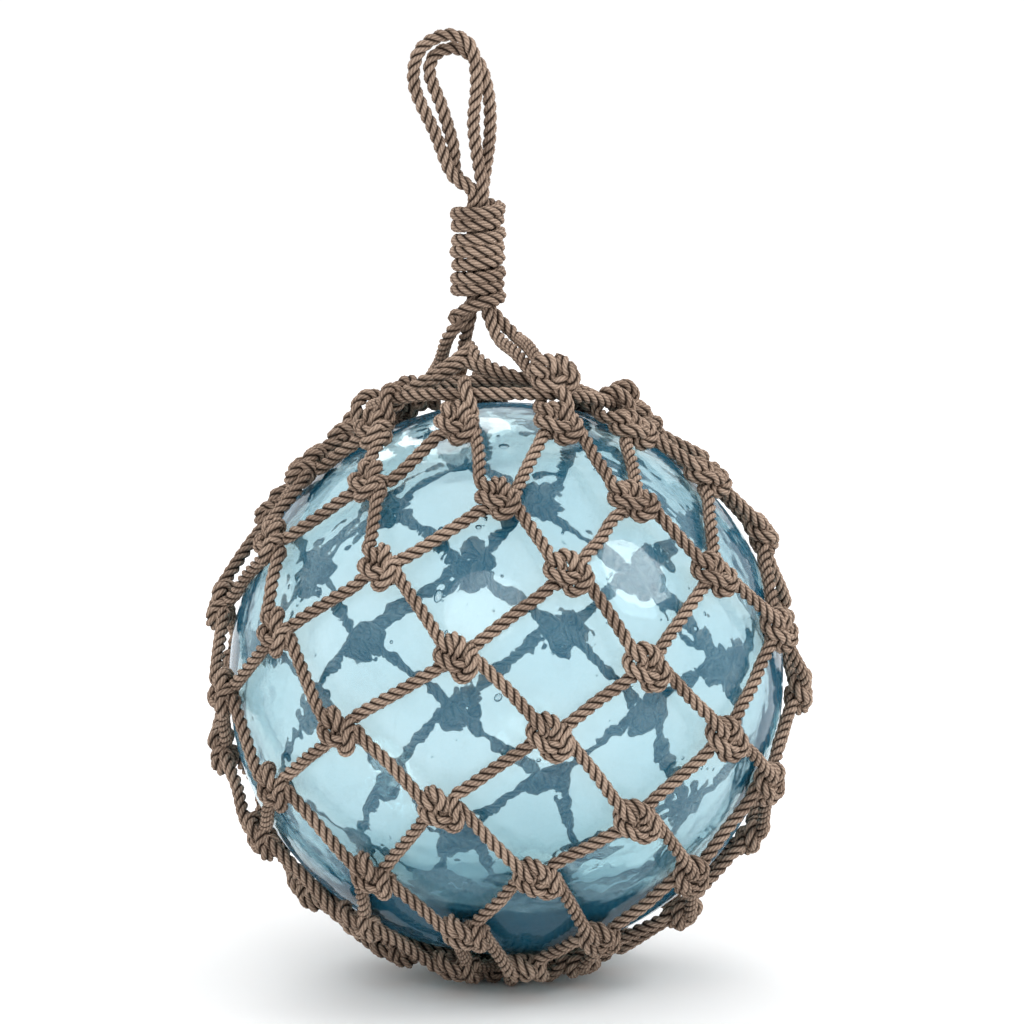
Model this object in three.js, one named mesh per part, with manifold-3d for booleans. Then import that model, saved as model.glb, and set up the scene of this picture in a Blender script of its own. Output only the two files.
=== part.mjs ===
// Glass float ball in a knotted rope net, in millimetres, +Z up.
// The floor is z = 0, the ball's centre stands on the Z axis and the front of the net faces -Y.
// An azimuth is measured from the front, towards +X.
import * as THREE from "three";
import { mergeVertices } from "three/addons/utils/BufferGeometryUtils.js";
import Module from "manifold-3d";

const wasm = await Module();
wasm.setup();

// Ball
const BALL_DIAMETER = 300;
const BALL_SEGMENTS = 36;

// Rope and fits
const ROPE_DIAMETER = 7.5;
const ROPE_RADIUS = ROPE_DIAMETER / 2;
const TOUCH_GAP = 0.3;
const ROPE_SIDES = 5;
const LEG_SIDES = 4;

// Net: one latitude for each row of knots on the ball, from the second row down to the last
const NET_COLUMNS = 9;
const ROW_LATITUDES = [47, 30.5, 14, -1, -16, -31.5, -49, -68];
const NET_LEAN = 2.1;
const TURN_LEAST = 7;
const TURN_SPREAD = 0.6;
const TURN_MIDDLE_ROW = 5.5;
// How far knots wander from an even grid: a swing, and its rates by row and column and its phase
const LATITUDE_WANDER = { swing: 1.5, row: 2.98, column: 2.68, phase: -0.17 };
const AZIMUTH_WANDER = { swing: 1.2, row: 2.52, column: 2.99, phase: 0.57 };

// A knot's half width and half height, in rope diameters, and the slant of its long way
const KNOT_HALF_WIDTH = 1.62;
const KNOT_HALF_HEIGHT = 1.95;
const KNOT_SLANT = 24;
const KNOT_CROWN = 0.5;
const KNOT_SHOULDER_RISE = 0.86;
const KNOT_MOUTH_SHARE = 0.92;
const MOUTH_SPREAD = 0.9;

// Top of the net: an oval gathering ring that runs through an eye on each knot of the first row.
// It droops over the ball at both sides.
const RING_HALF_WIDTH = 67;
const RING_HALF_DEPTH = 57;
const RING_OVER_TOP = 17;
const RING_DROOP = 15;
const RING_SHIFT = -5;
const RING_STEPS = 24;
const TOP_ROW_AZIMUTH = 24;
const TOP_KNOT_DROP = 1.45;
const TOP_KNOT_FALL_ANGLE = 48;
const EYE_STEPS = 5;
const EYE_CLEARANCE = 1.2;

// Foot ring: the band of turned rope under the ball, flat where it stands
const FOOT_RING_RADIUS = 23;
const FOOT_RING_THICKNESS = 2 * ROPE_DIAMETER;
const FOOT_RING_WIDTH = 2 * ROPE_DIAMETER;
const FOOT_SEGMENTS = 18;
const FOOT_LEG_SPREAD = 0.25;
const FOOT_EDGE_EASE = 0.6 * ROPE_RADIUS;

// Neck: four strands pressed together, bound by turns of the same rope
const NECK_SHIFT = -15;
const NECK_FOOT_OVER_TOP = 51;
const NECK_BUNDLE_RADIUS = 7;
const NECK_TURNS = 8;
const NECK_SIDES = 10;
const NECK_GROOVE = 0.45 * ROPE_RADIUS;
const NECK_TURN_EDGE = 0.3;

// Legs from the neck down to the ring: the side of the neck they start on, where they stand under
// it, in rope diameters across from its axis, and the ring's azimuth where they end
const LEGS = [
  { right: -1, front: -1, splay: -0.8, foot: -162 },
  { right: -1, front: 1, splay: -1.8, foot: -148 },
  { right: 1, front: 1, splay: 1.35, foot: 6 },
  { right: 1, front: -1, splay: 2, foot: 13 },
];
const LEG_EXIT_DROP = 0.5 * ROPE_DIAMETER;
const LEG_SPLAY_DROP = 2.1 * ROPE_DIAMETER;
const LEG_SPLAY_DEPTH = 0.1;
const TIE_KNOT_AZIMUTH = 8;
const TIE_KNOT_HALF_SIZE = 8.5;

// Hanging loop above the neck
const LOOP_HEIGHT = 92;
const LOOP_WIDTH = 38;
const LOOP_STEPS = 20;
const LEG_STEPS = 6;

const BALL_RADIUS = BALL_DIAMETER / 2;
const REST_RADIUS = BALL_RADIUS + TOUCH_GAP;
const COLUMN_STEP = 360 / NET_COLUMNS;
const CENTRE_HEIGHT = Math.sqrt(REST_RADIUS ** 2 - FOOT_RING_RADIUS ** 2) + FOOT_RING_THICKNESS;
const CENTRE = new THREE.Vector3(0, 0, CENTRE_HEIGHT);
const RING_OVER_CENTRE = BALL_RADIUS + RING_OVER_TOP;
const NECK_FOOT_OVER_CENTRE = BALL_RADIUS + NECK_FOOT_OVER_TOP;
const radians = THREE.MathUtils.degToRad;

// Closed geometry with its shared vertices merged, as a solid that can be joined and cut.
function solid(geometry) {
  const bare = geometry.clone();
  bare.deleteAttribute("normal");
  bare.deleteAttribute("uv");
  const merged = mergeVertices(bare, 1e-4);
  return new wasm.Manifold(
    new wasm.Mesh({
      numProp: 3,
      vertProperties: merged.attributes.position.array,
      triVerts: new Uint32Array(merged.index.array),
    }),
  );
}

// A named mesh from a joined solid.
function piece(name, body, material) {
  const mesh = body.getMesh();
  const geometry = new THREE.BufferGeometry();
  geometry.setAttribute("position", new THREE.BufferAttribute(mesh.vertProperties, 3));
  geometry.setIndex(new THREE.BufferAttribute(mesh.triVerts, 1));
  geometry.computeVertexNormals();
  const made = new THREE.Mesh(geometry, material);
  made.name = name;
  return made;
}

// All solids of a list joined into one, two by two.
function join(solids) {
  let left = solids;
  while (left.length > 1) {
    const next = [];
    for (let i = 0; i < left.length; i += 2) {
      next.push(i + 1 < left.length ? left[i].add(left[i + 1]) : left[i]);
    }
    left = next;
  }
  return left[0];
}

// A straight stretch of rope between two points, with an edge turned away from the ball's centre.
function bar(from, to) {
  const along = new THREE.Vector3().subVectors(to, from);
  const length = along.length();
  const middle = new THREE.Vector3().addVectors(from, to).multiplyScalar(0.5);
  const geometry = new THREE.CylinderGeometry(ROPE_RADIUS, ROPE_RADIUS, length, LEG_SIDES);
  const side = new THREE.Vector3().crossVectors(along, middle.clone().sub(CENTRE)).normalize();
  along.normalize();
  const outward = new THREE.Vector3().crossVectors(side, along);
  geometry.applyMatrix4(new THREE.Matrix4().makeBasis(side, along, outward).setPosition(middle));
  return solid(geometry);
}

// The rope's section, a regular polygon.
function ropeSection(sides) {
  const corners = [];
  for (let i = 0; i < sides; i++) {
    const turn = (2 * Math.PI * i) / sides;
    corners.push(new THREE.Vector2(ROPE_RADIUS * Math.cos(turn), ROPE_RADIUS * Math.sin(turn)));
  }
  return new THREE.Shape(corners);
}

// Rope along a smooth curve through the points given, closed on itself or with two ends.
function rope(points, steps, closed = false, sides = ROPE_SIDES) {
  const path = new THREE.CatmullRomCurve3(points, closed, "centripetal");
  const geometry = new THREE.ExtrudeGeometry(ropeSection(sides), {
    steps,
    extrudePath: path,
    bevelEnabled: false,
  });
  return solid(geometry);
}

// A point at an azimuth and a latitude on a sphere about the ball's centre.
function onSphere(azimuth, latitude, radius) {
  const level = radius * Math.cos(radians(latitude));
  return new THREE.Vector3(
    level * Math.sin(radians(azimuth)),
    -level * Math.cos(radians(azimuth)),
    radius * Math.sin(radians(latitude)),
  );
}

// How far a row of knots is turned about the Z axis, for rows 1, 2, 3 and on.
function rowTurn(row) {
  const twist = TURN_LEAST + TURN_SPREAD * (row - TURN_MIDDLE_ROW) ** 2;
  return twist + (row % 2 === 0 ? COLUMN_STEP / 2 : 0);
}

// Direction from the ball's centre to the knot of a row and a column on the ball.
function knotDirection(row, column) {
  const wander = ({ swing, ...rate }) =>
    swing * Math.sin(rate.row * row + rate.column * column + rate.phase);
  const latitude = ROW_LATITUDES[row - 2] + wander(LATITUDE_WANDER);
  const azimuth = rowTurn(row) + COLUMN_STEP * column + wander(AZIMUTH_WANDER);
  return onSphere(azimuth, latitude, 1).applyAxisAngle(new THREE.Vector3(0, 1, 0), radians(NET_LEAN));
}

// Columns run from a whole turn's middle, so that column 0 stands nearest the front.
const FIRST_COLUMN = -Math.floor(NET_COLUMNS / 2);
const LAST_ROW = ROW_LATITUDES.length + 1;

// The two columns, left and right, that a knot's legs run to, in the row above as in the row below.
function nearColumns(row, column) {
  return row % 2 === 0 ? [column, column + 1] : [column - 1, column];
}

// Column number brought back into one turn.
function wrapped(column) {
  return ((((column - FIRST_COLUMN) % NET_COLUMNS) + NET_COLUMNS) % NET_COLUMNS) + FIRST_COLUMN;
}

const columns = Array.from({ length: NET_COLUMNS }, (_, i) => FIRST_COLUMN + i);

// Knots stand off the glass so far that a taut leg between two of them just clears it.
function knotRadius() {
  let widest = 0;
  for (let row = 2; row < LAST_ROW; row++) {
    for (const column of columns) {
      for (const lower of nearColumns(row, column)) {
        const angle = knotDirection(row, column).angleTo(knotDirection(row + 1, wrapped(lower)));
        widest = Math.max(widest, angle);
      }
    }
  }
  return (REST_RADIUS + ROPE_RADIUS) / Math.cos(widest / 2);
}

const KNOT_RADIUS = knotRadius();
const KNOT_HALF_THICKNESS = KNOT_RADIUS - REST_RADIUS;

// A point of the gathering ring at an azimuth about its own axis.
function ringPoint(azimuth) {
  return new THREE.Vector3(
    RING_SHIFT + RING_HALF_WIDTH * Math.sin(radians(azimuth)),
    -RING_HALF_DEPTH * Math.cos(radians(azimuth)),
    CENTRE_HEIGHT + RING_OVER_CENTRE - RING_DROOP * Math.sin(radians(azimuth)) ** 4,
  );
}

// The level direction that points away from the ring at an azimuth.
function ringOutward(azimuth) {
  return new THREE.Vector3(
    Math.sin(radians(azimuth)) / RING_HALF_WIDTH,
    -Math.cos(radians(azimuth)) / RING_HALF_DEPTH,
    0,
  ).normalize();
}

// The slanting direction from the ring down and out to a knot of the first row.
function topFall(azimuth) {
  const fall = radians(TOP_KNOT_FALL_ANGLE);
  return ringOutward(azimuth)
    .multiplyScalar(Math.cos(fall))
    .add(new THREE.Vector3(0, 0, -Math.sin(fall)));
}

function topAzimuth(column) {
  return TOP_ROW_AZIMUTH + COLUMN_STEP * column;
}

// Centre of the knot of a row and a column. A first-row knot hangs from the ring, off the glass.
function knotCentre(row, column) {
  const own = wrapped(column);
  if (row > 1) return knotDirection(row, own).multiplyScalar(KNOT_RADIUS).add(CENTRE);
  const azimuth = topAzimuth(own);
  const drop = TOP_KNOT_DROP * ROPE_DIAMETER + 2 * ROPE_RADIUS;
  const offset = ringPoint(azimuth).addScaledVector(topFall(azimuth), drop).sub(CENTRE);
  return offset.setLength(Math.max(offset.length(), KNOT_RADIUS)).add(CENTRE);
}

// The level and upward directions along the ball at a place, seen from outside.
function tangents(outward, upward) {
  const across = new THREE.Vector3().crossVectors(upward, outward).normalize();
  return { across, up: new THREE.Vector3().crossVectors(outward, across).normalize() };
}

// Half the knot's width in a direction, from its slanted oval outline.
function knotReach(turn, halfHeight) {
  const slanted = turn - radians(KNOT_SLANT);
  const halfWidth = KNOT_HALF_WIDTH * ROPE_DIAMETER;
  return 1 / Math.hypot(Math.cos(slanted) / halfWidth, Math.sin(slanted) / halfHeight);
}

// A knot's corner points: at each leg a mouth of four corners that the leg's sides start from,
// between two legs a bulge of the oval outline with a shoulder above it, and a crown and a sole.
function knotPoints(knot) {
  const { centre, outward, halfHeight } = knot;
  const { across, up } = tangents(outward, knot.upward);
  const place = (turn, reach, rise) =>
    centre
      .clone()
      .addScaledVector(across, reach * Math.cos(turn))
      .addScaledVector(up, reach * Math.sin(turn))
      .addScaledVector(outward, rise * KNOT_HALF_THICKNESS);
  const turns = knot.legs.map((leg) => Math.atan2(leg.dot(up), leg.dot(across)));
  const mouths = knot.legs.map((leg, i) => {
    const side = new THREE.Vector3().crossVectors(outward, leg).normalize();
    const out = new THREE.Vector3().crossVectors(leg, side);
    const middle = centre.clone().addScaledVector(leg, KNOT_MOUTH_SHARE * knotReach(turns[i], halfHeight));
    return {
      right: middle.clone().addScaledVector(side, -ROPE_RADIUS),
      out: middle.clone().addScaledVector(out, ROPE_RADIUS),
      left: middle.clone().addScaledVector(side, ROPE_RADIUS),
      in: middle.clone().addScaledVector(out, -ROPE_RADIUS),
    };
  });
  const between = turns.map((turn, i) => {
    const next = turns[(i + 1) % turns.length];
    const open = (next - turn + 4 * Math.PI) % (2 * Math.PI);
    return turn + open / 2;
  });
  return {
    mouths,
    bulges: between.map((turn) => place(turn, knotReach(turn, halfHeight), 0)),
    shoulders: between.map((turn) =>
      place(turn, KNOT_CROWN * knotReach(turn, halfHeight), KNOT_SHOULDER_RISE),
    ),
    crown: place(0, 0, 1),
    sole: place(0, 0, -1),
  };
}

// Faces of a knot between its mouths, as triangles of points that turn left seen from outside.
function knotFaces(points) {
  const { mouths, bulges, shoulders, crown, sole } = points;
  const faces = [];
  for (let i = 0; i < mouths.length; i++) {
    const next = (i + 1) % mouths.length;
    const last = (i + mouths.length - 1) % mouths.length;
    const mouth = mouths[i];
    const beyond = mouths[next];
    faces.push([mouth.out, mouth.left, shoulders[i]]);
    faces.push([mouth.left, bulges[i], shoulders[i]]);
    faces.push([bulges[i], beyond.right, shoulders[i]]);
    faces.push([beyond.right, beyond.out, shoulders[i]]);
    faces.push([mouth.out, shoulders[i], crown]);
    faces.push([shoulders[last], mouth.out, crown]);
    faces.push([mouth.left, mouth.in, sole]);
    faces.push([mouth.in, mouth.right, sole]);
    faces.push([bulges[i], mouth.left, sole]);
    faces.push([beyond.right, bulges[i], sole]);
  }
  return faces;
}

// Sides of a leg between the mouths of two knots that face each other.
function legFaces(from, to) {
  const faces = [];
  const near = [from.right, from.out, from.left, from.in];
  const far = [to.left, to.out, to.right, to.in];
  for (let i = 0; i < near.length; i++) {
    const next = (i + 1) % near.length;
    faces.push([near[i], far[next], near[next]]);
    faces.push([near[i], far[i], far[next]]);
  }
  return faces;
}

// A mouth that no leg leaves is closed.
function lidFaces({ right, out, left, in: inner }) {
  return [
    [right, left, out],
    [right, inner, left],
  ];
}

// The eye of a first-row knot: a bight that goes round the ring, its two ends together in the knot.
function eye(column) {
  const azimuth = topAzimuth(column);
  const fall = topFall(azimuth);
  const over = new THREE.Vector3()
    .crossVectors(ringOutward(azimuth), new THREE.Vector3(0, 0, 1))
    .cross(fall)
    .normalize();
  const reach = 2 * ROPE_RADIUS + EYE_CLEARANCE;
  const centre = ringPoint(azimuth);
  const knot = knotCentre(1, column);
  const points = [knot.clone().addScaledVector(over, ROPE_RADIUS)];
  for (let i = 0; i <= EYE_STEPS; i++) {
    const turn = (Math.PI * i) / EYE_STEPS;
    const point = centre.clone().addScaledVector(over, reach * Math.cos(turn));
    points.push(point.addScaledVector(fall, -reach * Math.sin(turn)));
  }
  points.push(knot.clone().addScaledVector(over, -ROPE_RADIUS));
  return rope(points, EYE_STEPS + 3, false, LEG_SIDES);
}

// The flat-bottomed band of rope turns under the ball that the lowest legs hang on.
function footRing() {
  const inner = FOOT_RING_RADIUS - FOOT_RING_WIDTH / 2;
  const outer = FOOT_RING_RADIUS + FOOT_RING_WIDTH / 2;
  const ease = FOOT_EDGE_EASE;
  const under = (radius) => CENTRE_HEIGHT - Math.sqrt(REST_RADIUS ** 2 - radius ** 2);
  const profile = [
    new THREE.Vector2(inner + ease, 0),
    new THREE.Vector2(outer - ease, 0),
    new THREE.Vector2(outer, ease),
    new THREE.Vector2(outer, under(outer) - ease),
    new THREE.Vector2(outer - ease, under(outer - ease) - TOUCH_GAP),
    new THREE.Vector2(inner + ease, under(inner + ease) - TOUCH_GAP),
    new THREE.Vector2(inner, under(inner) - ease),
    new THREE.Vector2(inner, ease),
  ];
  profile.push(profile[0].clone());
  const geometry = new THREE.LatheGeometry(profile, FOOT_SEGMENTS);
  geometry.rotateX(Math.PI / 2);
  return solid(geometry);
}

// Where a leg from a last-row knot ends in the foot ring.
function footPoint(azimuth) {
  return new THREE.Vector3(
    FOOT_RING_RADIUS * Math.sin(radians(azimuth)),
    -FOOT_RING_RADIUS * Math.cos(radians(azimuth)),
    FOOT_RING_THICKNESS / 2,
  );
}

// Two directions spread to both sides of one, for the mouths where a knot's eye or foot legs are.
function spread(main, level) {
  return [1, -1].map((side) => main.clone().addScaledVector(level, side * MOUTH_SPREAD).normalize());
}

// The knot's frame and the directions of its four legs, counted to the left from the upper right.
function knotFrame(row, column) {
  const centre = knotCentre(row, column);
  const towards = (point) => point.clone().sub(centre).normalize();
  const outward = knotDirection(Math.max(row, 2), wrapped(column));
  const frame = {
    centre,
    outward,
    upward: new THREE.Vector3(0, 0, 1),
    halfHeight: KNOT_HALF_HEIGHT * ROPE_DIAMETER,
  };
  let upper;
  if (row === 1) {
    frame.upward = topFall(topAzimuth(column)).negate();
    frame.halfHeight = TOP_KNOT_DROP * ROPE_DIAMETER;
    const level = new THREE.Vector3().crossVectors(frame.upward, ringOutward(topAzimuth(column)));
    frame.outward = level.normalize().clone().cross(frame.upward);
    upper = spread(frame.upward, level);
  } else {
    upper = [...nearColumns(row, column)].reverse().map((other) => towards(knotCentre(row - 1, other)));
  }
  let lower;
  if (row === LAST_ROW) {
    const { across, up } = tangents(outward, frame.upward);
    lower = spread(up.negate(), across).reverse();
  } else {
    lower = nearColumns(row, column).map((other) => towards(knotCentre(row + 1, other)));
  }
  frame.legs = [...upper, ...lower];
  return frame;
}

// The net between its top row and its last row as one closed surface.
function meshwork() {
  const knots = new Map();
  for (let row = 1; row <= LAST_ROW; row++) {
    for (const column of columns) knots.set(`${row},${column}`, knotPoints(knotFrame(row, column)));
  }
  const faces = [];
  for (let row = 1; row <= LAST_ROW; row++) {
    for (const column of columns) {
      const points = knots.get(`${row},${column}`);
      const [upperRight, upperLeft, lowerLeft, lowerRight] = points.mouths;
      faces.push(...knotFaces(points));
      if (row === 1) faces.push(...lidFaces(upperRight), ...lidFaces(upperLeft));
      if (row === LAST_ROW) {
        faces.push(...lidFaces(lowerLeft), ...lidFaces(lowerRight));
        continue;
      }
      const [left, right] = nearColumns(row, column).map(wrapped);
      faces.push(...legFaces(lowerLeft, knots.get(`${row + 1},${left}`).mouths[0]));
      faces.push(...legFaces(lowerRight, knots.get(`${row + 1},${right}`).mouths[1]));
    }
  }
  const geometry = new THREE.BufferGeometry().setFromPoints(faces.flat());
  return solid(geometry);
}

function netSolid() {
  const parts = [footRing(), meshwork()];
  for (const column of columns) {
    parts.push(eye(column));
    const centre = knotCentre(LAST_ROW, column);
    for (const side of [-FOOT_LEG_SPREAD, FOOT_LEG_SPREAD]) {
      parts.push(bar(centre, footPoint(rowTurn(LAST_ROW) + COLUMN_STEP * (column + side))));
    }
  }
  return join(parts);
}

const NECK_HEIGHT = NECK_TURNS * ROPE_DIAMETER;
const NECK_TOP_OVER_CENTRE = NECK_FOOT_OVER_CENTRE + NECK_HEIGHT;
const STRAND_OFFSET = (NECK_BUNDLE_RADIUS - ROPE_RADIUS) * Math.SQRT1_2;

// The four strands of the neck stand two by two about its axis.
function strandPlace(right, front, height) {
  return new THREE.Vector3(
    NECK_SHIFT + right * STRAND_OFFSET,
    -front * STRAND_OFFSET,
    CENTRE_HEIGHT + height,
  );
}

// A leg leaves the neck's foot, stands out beside the others and runs straight down to the ring.
function leg({ right, front, splay, foot }) {
  const start = strandPlace(right, front, NECK_FOOT_OVER_CENTRE + ROPE_DIAMETER);
  const exit = strandPlace(right, front, NECK_FOOT_OVER_CENTRE - LEG_EXIT_DROP);
  const end = ringPoint(foot);
  const below = strandPlace(right, front, NECK_FOOT_OVER_CENTRE - LEG_SPLAY_DROP);
  below.x = NECK_SHIFT + splay * ROPE_DIAMETER;
  below.y += LEG_SPLAY_DEPTH * end.y;
  return rope([start, exit, below, end], LEG_STEPS);
}

// One rope of the loop: shares of the loop's width across and height up, and rope diameters to
// the front, from the left strand round to the right one.
const FRONT_ROPE = [
  [-0.34, 0.13, 0.35],
  [-0.6, 0.38, 0.1],
  [-0.9, 0.68, 0],
  [-0.8, 0.87, 0.1],
  [-0.42, 0.955, 0.4],
  [-0.12, 0.9, 0.5],
  [-0.02, 0.7, 0.5],
  [-0.06, 0.42, 0.5],
];
const REAR_ROPE = [
  [-0.3, 0.13, -0.5],
  [-0.35, 0.3, -0.5],
  [-0.5, 0.52, -0.4],
  [-0.68, 0.74, -0.3],
  [-0.6, 0.83, -0.5],
  [-0.34, 0.87, -0.6],
  [-0.02, 0.8, -0.6],
  [0.14, 0.62, -0.6],
  [0.17, 0.38, -0.6],
];

function loopRope(shares, front) {
  const start = NECK_TOP_OVER_CENTRE;
  const points = shares.map(
    ([across, up, forward]) =>
      new THREE.Vector3(
        NECK_SHIFT + across * LOOP_WIDTH,
        -forward * ROPE_DIAMETER,
        CENTRE_HEIGHT + start + up * LOOP_HEIGHT,
      ),
  );
  for (const height of [start + ROPE_RADIUS, start - ROPE_DIAMETER]) {
    points.unshift(strandPlace(-1, front, height));
    points.push(strandPlace(1, front, height));
  }
  return rope(points, LOOP_STEPS);
}

// The knot that ties the two front legs to the ring.
function tieKnot() {
  const geometry = new THREE.IcosahedronGeometry(TIE_KNOT_HALF_SIZE, 0);
  const place = ringPoint(TIE_KNOT_AZIMUTH);
  geometry.translate(place.x, place.y, place.z + ROPE_RADIUS);
  return solid(geometry);
}

function hangingSolid() {
  const ring = [];
  for (let i = 0; i < RING_STEPS; i++) ring.push(ringPoint((360 * i) / RING_STEPS));
  const radius = NECK_BUNDLE_RADIUS;
  const core = new THREE.CylinderGeometry(radius, radius, NECK_HEIGHT, NECK_SIDES);
  core.rotateX(Math.PI / 2);
  core.translate(NECK_SHIFT, 0, CENTRE_HEIGHT + NECK_FOOT_OVER_CENTRE + NECK_HEIGHT / 2);
  return join([
    rope(ring, RING_STEPS, true),
    tieKnot(),
    solid(core),
    ...LEGS.map(leg),
    loopRope(FRONT_ROPE, 1),
    loopRope(REAR_ROPE, -1),
  ]);
}

// Binding of the neck: turns of rope one above the other, open in the middle for the strands.
function whippingSolid() {
  const inner = NECK_BUNDLE_RADIUS / Math.cos(Math.PI / NECK_SIDES) + TOUCH_GAP;
  const outer = inner + ROPE_DIAMETER;
  const profile = [new THREE.Vector2(inner, 0)];
  for (let turn = 0; turn < NECK_TURNS; turn++) {
    const low = turn * ROPE_DIAMETER;
    profile.push(new THREE.Vector2(outer - NECK_GROOVE, low));
    profile.push(new THREE.Vector2(outer, low + NECK_TURN_EDGE * ROPE_DIAMETER));
    profile.push(new THREE.Vector2(outer, low + (1 - NECK_TURN_EDGE) * ROPE_DIAMETER));
  }
  profile.push(new THREE.Vector2(outer - NECK_GROOVE, NECK_HEIGHT));
  profile.push(new THREE.Vector2(inner, NECK_HEIGHT));
  profile.push(profile[0].clone());
  const geometry = new THREE.LatheGeometry(profile, NECK_SIDES);
  geometry.rotateX(Math.PI / 2);
  geometry.translate(NECK_SHIFT, 0, CENTRE_HEIGHT + NECK_FOOT_OVER_CENTRE);
  return solid(geometry);
}

const glass = new THREE.MeshStandardMaterial({
  color: 0xb8dde4,
  roughness: 0.05,
  metalness: 0,
  transparent: true,
  opacity: 0.35,
});
const ropeFibre = new THREE.MeshStandardMaterial({ color: 0x86695a, roughness: 0.9, metalness: 0 });

const ballGeometry = new THREE.SphereGeometry(BALL_RADIUS, BALL_SEGMENTS, BALL_SEGMENTS / 2);
ballGeometry.rotateX(Math.PI / 2);
const ball = new THREE.Mesh(ballGeometry, glass);
ball.name = "glass_ball";
ball.position.copy(CENTRE);

const floatBall = new THREE.Group();
floatBall.add(ball);
floatBall.add(piece("rope_net", netSolid(), ropeFibre));
floatBall.add(piece("hanging_rope", hangingSolid(), ropeFibre));
floatBall.add(piece("neck_whipping", whippingSolid(), ropeFibre));

export default floatBall;
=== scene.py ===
"""Looks of a blown glass float ball in a knotted rope net, built around its solids.

Lengths are in metres and angles in degrees where nothing else is said. +Z is up, the front of the
net faces -Y and an azimuth is measured from the front towards +X.
"""

import logging
from dataclasses import dataclass, field, replace
from enum import Enum

import bpy
import numpy as np
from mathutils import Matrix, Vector


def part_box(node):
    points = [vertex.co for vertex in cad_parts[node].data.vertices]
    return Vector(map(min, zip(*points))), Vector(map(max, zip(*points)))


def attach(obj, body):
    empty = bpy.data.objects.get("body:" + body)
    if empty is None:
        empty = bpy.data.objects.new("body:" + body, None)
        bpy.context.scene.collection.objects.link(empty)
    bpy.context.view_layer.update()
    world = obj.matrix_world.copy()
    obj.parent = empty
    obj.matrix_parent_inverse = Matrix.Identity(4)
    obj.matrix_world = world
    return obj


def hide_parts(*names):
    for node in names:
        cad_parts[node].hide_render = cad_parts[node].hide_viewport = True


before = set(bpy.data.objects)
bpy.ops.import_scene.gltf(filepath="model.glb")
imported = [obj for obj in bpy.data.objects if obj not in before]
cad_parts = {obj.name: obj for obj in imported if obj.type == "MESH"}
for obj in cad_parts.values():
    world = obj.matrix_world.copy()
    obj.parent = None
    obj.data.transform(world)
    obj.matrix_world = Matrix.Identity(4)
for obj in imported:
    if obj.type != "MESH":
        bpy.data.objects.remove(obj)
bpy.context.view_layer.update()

BODY = "root"
LAY_MAP = "lay"
END_ON_MAP = 0.5
X_AXIS = np.array([1.0, 0.0, 0.0])
Z_AXIS = np.array([0.0, 0.0, 1.0])
# No path runs exactly along this direction, so it can start the frame across any of them.
ASIDE = np.array([0.36, 0.48, 0.8])

Array = np.ndarray
Colour = tuple[float, float, float]
Place = tuple[float, float, float]

log = logging.getLogger("float_ball")


class Slot(Enum):
    """The record's material slots."""

    GLASS = "glass"
    ROPE = "rope"


class Node(Enum):
    """The solids that the pieces stand for."""

    BALL = "glass_ball"
    NET = "rope_net"
    HANGING_ROPE = "hanging_rope"
    WHIPPING = "neck_whipping"


def put(name: str, data: bpy.types.ID) -> bpy.types.Object:
    """Makes an object and links it to the scene.

    Args:
        name: The object's name.
        data: Its mesh, light or camera.

    Returns:
        The object.
    """
    made = bpy.data.objects.new(name, data)
    bpy.context.scene.collection.objects.link(made)
    return made


# Shaders


class Socket:
    """A shader socket whose arithmetic adds Math nodes."""

    def __init__(self, shader: "Shader", source: bpy.types.NodeSocket) -> None:
        """Wraps an output socket of a shader's node."""
        self.shader = shader
        self.source = source

    def __add__(self, other: "Socket | float") -> "Socket":
        """Sum."""
        return self.shader.math("ADD", self, other)

    def __sub__(self, other: "Socket | float") -> "Socket":
        """Difference."""
        return self.shader.math("SUBTRACT", self, other)

    def __rsub__(self, other: "Socket | float") -> "Socket":
        """Difference from a number."""
        return self.shader.math("SUBTRACT", other, self)

    def __mul__(self, other: "Socket | float") -> "Socket":
        """Product."""
        return self.shader.math("MULTIPLY", self, other)

    def __abs__(self) -> "Socket":
        """Size without sign."""
        return self.shader.math("ABSOLUTE", self)

    __radd__ = __add__
    __rmul__ = __mul__


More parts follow.
